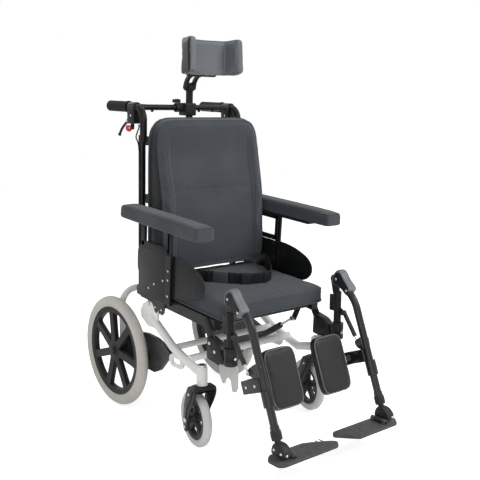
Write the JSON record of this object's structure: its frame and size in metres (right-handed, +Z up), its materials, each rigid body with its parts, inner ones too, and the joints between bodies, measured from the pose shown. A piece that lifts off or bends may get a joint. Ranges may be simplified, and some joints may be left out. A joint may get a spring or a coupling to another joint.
{
  "type": "tilt in space wheelchair",
  "caption": "Attendant-pushed wheelchair with tilting seat, reclining back, headrest, height-adjustable arms and raising leg rests",
  "frame": {"origin": "middle of the footprint's bounding box, on the floor", "axes": "+Z up, the chair faces -Y, +X is the occupant's left"},
  "size_m": [0.629, 1.1349, 1.3288],
  "materials": {
    "frame_paint": "off-white powder coat",
    "black_metal": "satin black powder coat",
    "black_plastic": "moulded black plastic",
    "grip_rubber": "ribbed soft rubber",
    "grey_tyre": "light grey solid tyre",
    "cover_plastic": "grey moulded cover",
    "plate_plastic": "dark grey moulded footplate",
    "upholstery": "dark slate grey coated upholstery",
    "headrest_cover": "grey leatherette",
    "calf_cover": "warm dark grey cover",
    "webbing": "black webbing",
    "cable_sleeve": "black cable sleeve",
    "board": "black stained seat board",
    "red_latch": "red latch",
    "bright_steel": "zinc plated steel"
  },
  "bodies": {
    "base": {"base_frame": "frame_paint", "axle_brackets": "black_metal", "frame_bolts": "bright_steel", "brake_cable_lower": "cable_sleeve"},
    "rear_wheel_right_body": {"rear_wheel_right": "black_plastic", "rear_tyre_right": "grey_tyre"},
    "caster_right_swivel_body": {"caster_fork_right": "black_plastic"},
    "caster_right_wheel_body": {"caster_wheel_right": "black_plastic", "caster_tyre_right": "grey_tyre"},
    "rear_wheel_left_body": {"rear_wheel_left": "black_plastic", "rear_tyre_left": "grey_tyre"},
    "caster_left_swivel_body": {"caster_fork_left": "black_plastic"},
    "caster_left_wheel_body": {"caster_wheel_left": "black_plastic", "caster_tyre_left": "grey_tyre"},
    "seat": {"seat_frame": "black_metal", "seat_pan": "board", "seat_cushion": "upholstery", "side_guards": "black_metal", "leg_receivers": "black_metal", "seat_bolts": "bright_steel", "lap_belt": "webbing", "belt_buckle": "black_plastic"},
    "tilt_spring_body": {"tilt_spring_barrel": "black_plastic"},
    "tilt_spring_rod_body": {"tilt_spring_rod": "bright_steel"},
    "back": {"back_frame": "black_metal", "back_shell": "black_plastic", "back_cushion": "upholstery", "push_bar": "black_plastic", "push_grips": "grip_rubber", "lever_brackets": "black_plastic", "brake_cable_upper": "cable_sleeve", "headrest_clamp": "black_plastic"},
    "arm_right": {"arm_post_right": "black_metal", "arm_pad_right": "upholstery"},
    "brake_lever_right_body": {"brake_lever_right": "black_plastic"},
    "brake_latch_right_body": {"brake_latch_right": "red_latch"},
    "arm_left": {"arm_post_left": "black_metal", "arm_pad_left": "upholstery"},
    "brake_lever_left_body": {"brake_lever_left": "black_plastic"},
    "brake_latch_left_body": {"brake_latch_left": "red_latch"},
    "headrest_knob_body": {"headrest_knob": "black_plastic"},
    "headrest_mast": {"headrest_post": "black_metal"},
    "headrest": {"headrest_yoke": "black_metal", "headrest_pad": "headrest_cover"},
    "leg_hanger_right_body": {"leg_hanger_right": "black_metal"},
    "leg_rest_right": {"knee_cover_right": "cover_plastic", "leg_tube_right": "black_metal"},
    "leg_strut_right": {"strut_barrel_right": "black_plastic"},
    "leg_strut_rod_right": {"strut_rod_right": "bright_steel"},
    "foot_right": {"foot_tube_right": "black_metal"},
    "footplate_right_body": {"footplate_right": "plate_plastic"},
    "calf_right": {"calf_pad_right": "calf_cover"},
    "leg_hanger_left_body": {"leg_hanger_left": "black_metal"},
    "leg_rest_left": {"knee_cover_left": "cover_plastic", "leg_tube_left": "black_metal"},
    "leg_strut_left": {"strut_barrel_left": "black_plastic"},
    "leg_strut_rod_left": {"strut_rod_left": "bright_steel"},
    "foot_left": {"foot_tube_left": "black_metal"},
    "footplate_left_body": {"footplate_left": "plate_plastic"},
    "calf_left": {"calf_pad_left": "calf_cover"}
  },
  "joints": [
    {"name": "rear_wheel_right_spin", "type": "hinge", "parent": "base", "child": "rear_wheel_right_body", "pos_m": [-0.246, 0.373, 0.203], "axis": [1, 0, 0], "continuous": true},
    {"name": "caster_right_swivel", "type": "hinge", "parent": "base", "child": "caster_right_swivel_body", "pos_m": [-0.252, -0.171, 0.25], "axis": [0, 0, 1], "continuous": true},
    {"name": "caster_right_spin", "type": "hinge", "parent": "caster_right_swivel_body", "child": "caster_right_wheel_body", "pos_m": [-0.24496, -0.12655, 0.094], "axis": [0.9877, -0.1564, 0], "continuous": true},
    {"name": "rear_wheel_left_spin", "type": "hinge", "parent": "base", "child": "rear_wheel_left_body", "pos_m": [0.246, 0.373, 0.203], "axis": [1, 0, 0], "continuous": true},
    {"name": "caster_left_swivel", "type": "hinge", "parent": "base", "child": "caster_left_swivel_body", "pos_m": [0.252, -0.171, 0.25], "axis": [0, 0, 1], "continuous": true},
    {"name": "caster_left_spin", "type": "hinge", "parent": "caster_left_swivel_body", "child": "caster_left_wheel_body", "pos_m": [0.25904, -0.12655, 0.094], "axis": [0.9877, -0.1564, 0], "continuous": true},
    {"name": "seat_tilt", "type": "hinge", "parent": "base", "child": "seat", "pos_m": [0, 0.178, 0.416], "axis": [-1, 0, 0], "range_deg": [0, 25]},
    {"name": "tilt_spring_swing", "type": "hinge", "parent": "base", "child": "tilt_spring_body", "pos_m": [0.15, 0.018, 0.26], "axis": [-1, 0, 0], "range_deg": [-5, 35]},
    {"name": "tilt_spring_stroke", "type": "slide", "parent": "tilt_spring_body", "child": "tilt_spring_rod_body", "axis": [0, -0.8505, 0.526], "range_m": [-0.005, 0.1]},
    {"name": "back_recline", "type": "hinge", "parent": "seat", "child": "back", "pos_m": [0, 0.25205, 0.45499], "axis": [-1, 0, 0], "range_deg": [0, 30]},
    {"name": "arm_right_height", "type": "slide", "parent": "seat", "child": "arm_right", "axis": [0, -0.0785, 0.9969], "range_m": [0, 0.06]},
    {"name": "brake_lever_right_squeeze", "type": "hinge", "parent": "back", "child": "brake_lever_right_body", "pos_m": [-0.207, 0.31543, 1.04501], "axis": [1, 0, 0], "range_deg": [0, 18], "stiffness_Nm_per_rad": 0.6, "springref_deg": -20.05},
    {"name": "brake_latch_right_turn", "type": "hinge", "parent": "back", "child": "brake_latch_right_body", "pos_m": [-0.215, 0.29233, 1.02207], "axis": [-1, 0, 0], "range_deg": [0, 35]},
    {"name": "arm_left_height", "type": "slide", "parent": "seat", "child": "arm_left", "axis": [0, -0.0785, 0.9969], "range_m": [0, 0.06]},
    {"name": "brake_lever_left_squeeze", "type": "hinge", "parent": "back", "child": "brake_lever_left_body", "pos_m": [0.207, 0.31543, 1.04501], "axis": [1, 0, 0], "range_deg": [0, 18], "stiffness_Nm_per_rad": 0.6, "springref_deg": -20.05},
    {"name": "brake_latch_left_turn", "type": "hinge", "parent": "back", "child": "brake_latch_left_body", "pos_m": [0.215, 0.29233, 1.02207], "axis": [-1, 0, 0], "range_deg": [0, 35]},
    {"name": "headrest_knob_turn", "type": "hinge", "parent": "back", "child": "headrest_knob_body", "pos_m": [-0.041, 0.25854, 1.11579], "axis": [0, -0.0401, 0.9992], "range_deg": [0, 180]},
    {"name": "headrest_height", "type": "slide", "parent": "back", "child": "headrest_mast", "axis": [0, -0.0401, 0.9992], "range_m": [-0.03, 0.06]},
    {"name": "headrest_tilt", "type": "hinge", "parent": "headrest_mast", "child": "headrest", "pos_m": [0, 0.23655, 1.16494], "axis": [-1, 0, 0], "range_deg": [-15, 15]},
    {"name": "leg_right_swing_away", "type": "hinge", "parent": "seat", "child": "leg_hanger_right_body", "pos_m": [-0.232, -0.292, 0.36], "axis": [0, 0, -1], "range_deg": [0, 80]},
    {"name": "leg_right_raise", "type": "hinge", "parent": "leg_hanger_right_body", "child": "leg_rest_right", "pos_m": [-0.232, -0.275, 0.516], "axis": [-1, 0, 0], "range_deg": [0, 45]},
    {"name": "leg_strut_right_swing", "type": "hinge", "parent": "leg_hanger_right_body", "child": "leg_strut_right", "pos_m": [-0.24, -0.316, 0.405], "axis": [-1, 0, 0], "range_deg": [-5, 80]},
    {"name": "leg_strut_right_stroke", "type": "slide", "parent": "leg_strut_right", "child": "leg_strut_rod_right", "axis": [0, -0.5917, -0.8061], "range_m": [-0.005, 0.08]},
    {"name": "foot_right_length", "type": "slide", "parent": "leg_rest_right", "child": "foot_right", "axis": [0, -0.3551, -0.9348], "range_m": [0, 0.045]},
    {"name": "footplate_right_flip", "type": "hinge", "parent": "foot_right", "child": "footplate_right_body", "pos_m": [-0.198, -0.516, 0.0974], "axis": [0, -1, 0], "range_deg": [0, 90]},
    {"name": "calf_right_swing", "type": "hinge", "parent": "leg_rest_right", "child": "calf_right", "pos_m": [-0.184, -0.36369, 0.26077], "axis": [0, 0.3551, 0.9348], "range_deg": [0, 70]},
    {"name": "leg_left_swing_away", "type": "hinge", "parent": "seat", "child": "leg_hanger_left_body", "pos_m": [0.232, -0.292, 0.36], "axis": [0, 0, 1], "range_deg": [0, 80]},
    {"name": "leg_left_raise", "type": "hinge", "parent": "leg_hanger_left_body", "child": "leg_rest_left", "pos_m": [0.232, -0.275, 0.516], "axis": [-1, 0, 0], "range_deg": [0, 45]},
    {"name": "leg_strut_left_swing", "type": "hinge", "parent": "leg_hanger_left_body", "child": "leg_strut_left", "pos_m": [0.24, -0.316, 0.405], "axis": [-1, 0, 0], "range_deg": [-5, 80]},
    {"name": "leg_strut_left_stroke", "type": "slide", "parent": "leg_strut_left", "child": "leg_strut_rod_left", "axis": [0, -0.5917, -0.8061], "range_m": [-0.005, 0.08]},
    {"name": "foot_left_length", "type": "slide", "parent": "leg_rest_left", "child": "foot_left", "axis": [0, -0.3551, -0.9348], "range_m": [0, 0.045]},
    {"name": "footplate_left_flip", "type": "hinge", "parent": "foot_left", "child": "footplate_left_body", "pos_m": [0.198, -0.516, 0.0974], "axis": [0, 1, 0], "range_deg": [0, 90]},
    {"name": "calf_left_swing", "type": "hinge", "parent": "leg_rest_left", "child": "calf_left", "pos_m": [0.184, -0.36369, 0.26077], "axis": [0, -0.3551, -0.9348], "range_deg": [0, 70]}
  ],
  "couplings": [
    {"joint": "tilt_spring_swing", "follows": "seat_tilt", "ratio": 1.0192},
    {"joint": "tilt_spring_stroke", "follows": "seat_tilt", "m_per_rad": 0.22164},
    {"joint": "leg_strut_right_swing", "follows": "leg_right_raise", "ratio": 1.495},
    {"joint": "leg_strut_right_stroke", "follows": "leg_right_raise", "m_per_rad": 0.089562},
    {"joint": "leg_strut_left_swing", "follows": "leg_left_raise", "ratio": 1.495},
    {"joint": "leg_strut_left_stroke", "follows": "leg_left_raise", "m_per_rad": 0.089562}
  ]
}
